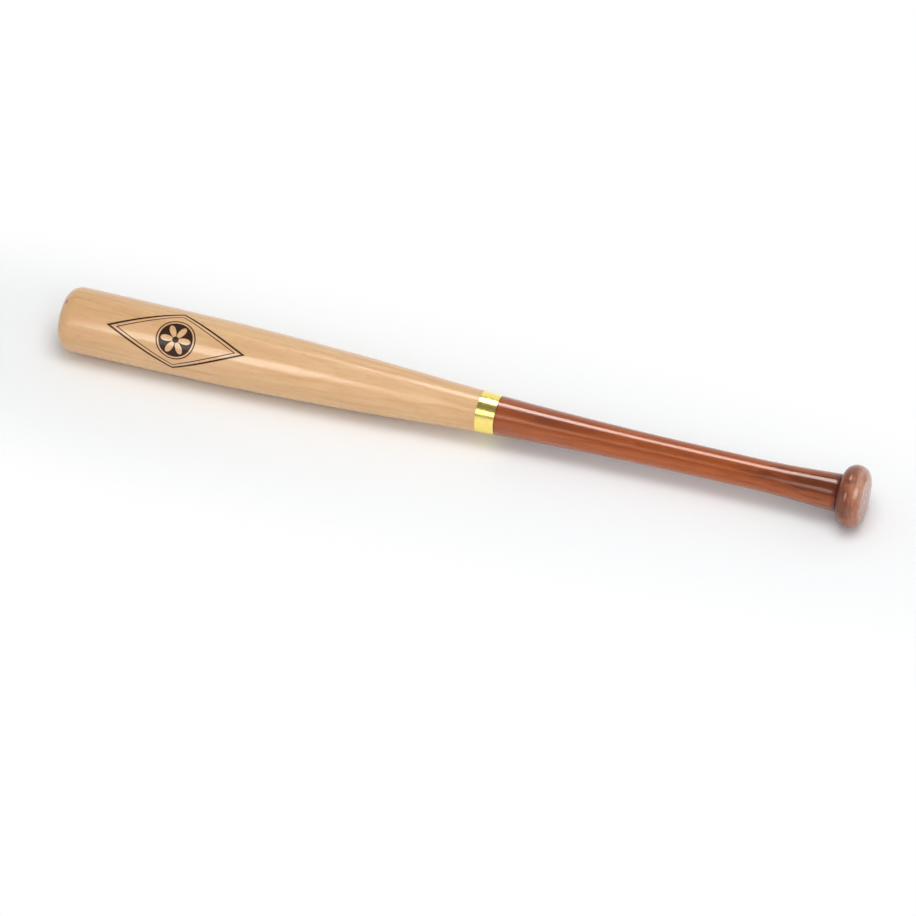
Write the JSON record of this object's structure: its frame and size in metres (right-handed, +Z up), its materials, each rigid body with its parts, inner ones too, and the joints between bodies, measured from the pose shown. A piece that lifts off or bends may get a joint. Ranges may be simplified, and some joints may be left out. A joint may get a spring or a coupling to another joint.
{
  "type": "wooden baseball bat",
  "caption": "Turned wooden bat with a pale barrel, a brass ferrule, a slim stained handle and a round knob, lying on its side.",
  "frame": {"origin": "on the surface that the bat lies on, below the middle of its length", "axes": "+X along the bat from the barrel's end to the knob's end, +Y across, +Z up"},
  "size_m": [0.686, 0.0544, 0.0544],
  "materials": {
    "pale_wood": "pale turned wood under clear gloss lacquer",
    "brass": "polished, turned flush with the wood",
    "stained_wood": "red-brown stain under gloss lacquer",
    "knob_wood": "red-brown stain under gloss lacquer",
    "dowel_wood": "bare, dry, fluted"
  },
  "bodies": {
    "root": {"barrel": "pale_wood", "ferrule": "brass", "handle": "stained_wood", "knob": "knob_wood", "joint_dowel": "dowel_wood", "knob_dowel": "dowel_wood"}
  },
  "joints": []
}
